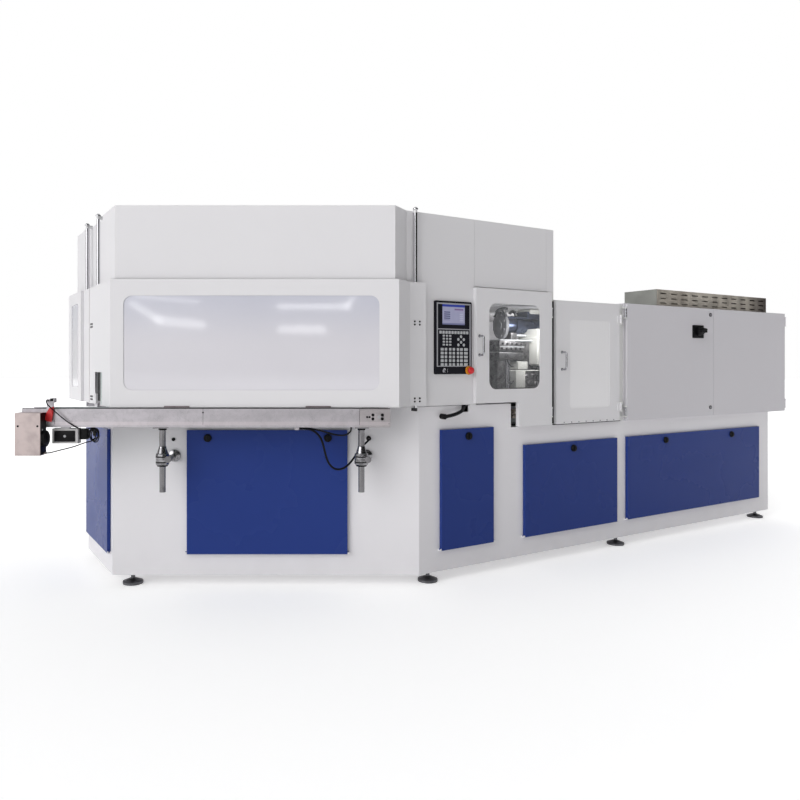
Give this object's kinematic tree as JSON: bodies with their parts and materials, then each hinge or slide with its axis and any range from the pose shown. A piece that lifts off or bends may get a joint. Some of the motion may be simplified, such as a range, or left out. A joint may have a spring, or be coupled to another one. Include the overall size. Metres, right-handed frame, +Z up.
{
  "type": "blow moulding machine",
  "caption": "Injection blow moulding machine with a faceted guarded head, a take-off conveyor and an electrical cabinet.",
  "frame": {"origin": "where the index table's upright axis meets the floor that the levelling feet stand on", "axes": "+X along the injection axis towards the cabinet's far end, +Y away from the operator, +Z up"},
  "size_m": [6.0128, 2.7701, 2.212],
  "materials": {
    "base_paint": "smooth powder coat",
    "panel_paint": "smooth powder coat",
    "cabinet_paint": "fine textured powder coat",
    "door_paint": "smooth blue powder coat",
    "frame_paint": "powder coat over welded tube",
    "stainless": "brushed, lightly mottled",
    "machined_steel": "ground and oiled",
    "plated_steel": "hard chromed or zinc plated",
    "glazing": "frosted polycarbonate",
    "belt": "smooth coated fabric belt",
    "black_plastic": "fine grained",
    "panel_membrane": "satin membrane",
    "screen_glass": "smooth screen",
    "red_plastic": "smooth",
    "yellow_plastic": "smooth",
    "cable_jacket": "smooth jacket",
    "grey_plastic": "smooth",
    "unit_paint": "machine enamel"
  },
  "bodies": {
    "machine": {"base_operator_wall": "base_paint", "base_front_wall": "base_paint", "base_end_wall": "base_paint", "base_rear_tray": "base_paint", "base_bed": "machined_steel", "levelling_feet": "plated_steel", "enclosure_frame": "frame_paint", "head_side_panel": "panel_paint", "head_door_header": "panel_paint", "head_front_fascia": "panel_paint", "head_back_fascia": "panel_paint", "head_rear_cover": "panel_paint", "guard_rods": "plated_steel", "tail_cover": "panel_paint", "cabinet_shell": "cabinet_paint", "vent_box": "stainless", "control_housing": "panel_membrane", "control_screen": "screen_glass", "conveyor_frame": "stainless", "conveyor_belt": "belt", "conveyor_drive_box": "stainless", "conveyor_switch_box": "grey_plastic", "sensor_post": "stainless", "conveyor_supports": "plated_steel", "cable_gland": "black_plastic", "drive_cable": "cable_jacket", "link_cable": "cable_jacket", "sensor_cable": "cable_jacket", "sensor_cable_coil": "cable_jacket", "elbow_hose": "black_plastic", "clamp_frames": "machined_steel", "lower_moulds": "machined_steel"},
    "front_guard": {"front_guard": "panel_paint", "front_guard_window": "glazing"},
    "back_guard": {"back_guard": "panel_paint", "back_guard_windows": "glazing"},
    "clamp_door": {"clamp_door": "panel_paint", "clamp_door_window": "glazing", "clamp_door_handle": "plated_steel"},
    "nozzle_door": {"nozzle_door": "panel_paint", "nozzle_door_window": "glazing", "nozzle_door_handle": "plated_steel"},
    "cabinet_left_door": {"cabinet_left_door": "cabinet_paint", "main_switch_plate": "black_plastic"},
    "cabinet_right_door": {"cabinet_right_door": "cabinet_paint"},
    "main_switch": {"main_switch_handle": "black_plastic"},
    "stop_button": {"stop_button": "red_plastic"},
    "key_switch": {"key_switch": "plated_steel"},
    "drive_roller": {"drive_roller": "machined_steel"},
    "tail_roller": {"tail_roller": "machined_steel"},
    "index_table": {"index_table": "machined_steel"},
    "injection_platen": {"injection_platen": "machined_steel"},
    "blow_platen": {"blow_platen": "machined_steel"},
    "injection_unit": {"injection_unit": "unit_paint"},
    "stripper_plate": {"stripper_plate": "machined_steel"},
    "front_base_door": {"front_base_door": "door_paint"},
    "end_base_door": {"end_base_door": "door_paint"},
    "side_base_door_1": {"side_base_door_1": "door_paint"},
    "side_base_door_2": {"side_base_door_2": "door_paint"},
    "side_base_door_3": {"side_base_door_3": "door_paint"}
  },
  "joints": [
    {"name": "front_guard_slide", "type": "slide", "parent": "machine", "child": "front_guard", "axis": [0, 0, 1], "range_m": [0, 0.4]},
    {"name": "back_guard_slide", "type": "slide", "parent": "machine", "child": "back_guard", "axis": [0, 0, 1], "range_m": [0, 0.4]},
    {"name": "clamp_door_hinge", "type": "hinge", "parent": "machine", "child": "clamp_door", "pos_m": [1.433, -1.277, 1.3], "axis": [0, 0, 1], "range_deg": [0, 100]},
    {"name": "nozzle_door_hinge", "type": "hinge", "parent": "machine", "child": "nozzle_door", "pos_m": [2.134, -1.274, 1.3], "axis": [0, 0, 1], "range_deg": [0, 85]},
    {"name": "cabinet_left_hinge", "type": "hinge", "parent": "machine", "child": "cabinet_left_door", "pos_m": [2.183, -1.276, 1.3], "axis": [0, 0, -1], "range_deg": [0, 90]},
    {"name": "cabinet_right_hinge", "type": "hinge", "parent": "machine", "child": "cabinet_right_door", "pos_m": [4.286, -1.276, 1.3], "axis": [0, 0, 1], "range_deg": [0, 120]},
    {"name": "main_switch_turn", "type": "hinge", "parent": "cabinet_left_door", "child": "main_switch", "pos_m": [3.027, -1.288, 1.5525], "axis": [0, -1, 0], "range_deg": [0, 90]},
    {"name": "stop_button_press", "type": "slide", "parent": "machine", "child": "stop_button", "axis": [0, 1, 0], "range_m": [0, 0.005]},
    {"name": "key_switch_turn", "type": "hinge", "parent": "machine", "child": "key_switch", "pos_m": [0.531, -1.28, 1.264], "axis": [0, -1, 0], "range_deg": [0, 90]},
    {"name": "drive_roller_turn", "type": "hinge", "parent": "machine", "child": "drive_roller", "pos_m": [-1.58438, -0.29423, 1.01], "axis": [-0.5, -0.866, 0], "continuous": true},
    {"name": "tail_roller_turn", "type": "hinge", "parent": "machine", "child": "tail_roller", "pos_m": [0.07406, -1.25173, 1.01], "axis": [-0.5, -0.866, 0], "continuous": true},
    {"name": "index_table_turn", "type": "hinge", "parent": "machine", "child": "index_table", "pos_m": [0, 0, 1.308], "axis": [0, 0, 1], "continuous": true},
    {"name": "injection_platen_slide", "type": "slide", "parent": "machine", "child": "injection_platen", "axis": [0, 0, 1], "range_m": [0, 0.14]},
    {"name": "blow_platen_slide", "type": "slide", "parent": "machine", "child": "blow_platen", "axis": [0, 0, 1], "range_m": [0, 0.14]},
    {"name": "injection_unit_slide", "type": "slide", "parent": "machine", "child": "injection_unit", "axis": [1, 0, 0], "range_m": [0, 0.2]},
    {"name": "stripper_slide", "type": "slide", "parent": "machine", "child": "stripper_plate", "axis": [-0.5, -0.866, 0], "range_m": [0, 0.3]},
    {"name": "front_base_door_tilt", "type": "hinge", "parent": "machine", "child": "front_base_door", "pos_m": [-0.40797, -0.81062, 0.202], "axis": [0.866, -0.5, 0], "range_deg": [0, 8]},
    {"name": "end_base_door_tilt", "type": "hinge", "parent": "machine", "child": "end_base_door", "pos_m": [-1.202, 0, 0.196], "axis": [0, -1, 0], "range_deg": [0, 8]},
    {"name": "side_base_door_1_tilt", "type": "hinge", "parent": "machine", "child": "side_base_door_1", "pos_m": [0.727, -1.257, 0.2], "axis": [1, 0, 0], "range_deg": [0, 8]},
    {"name": "side_base_door_2_tilt", "type": "hinge", "parent": "machine", "child": "side_base_door_2", "pos_m": [1.6535, -1.257, 0.196], "axis": [1, 0, 0], "range_deg": [0, 8]},
    {"name": "side_base_door_3_tilt", "type": "hinge", "parent": "machine", "child": "side_base_door_3", "pos_m": [3.059, -1.257, 0.198], "axis": [1, 0, 0], "range_deg": [0, 8]}
  ],
  "couplings": [
    {"joint": "tail_roller_turn", "follows": "drive_roller_turn", "ratio": 1}
  ]
}
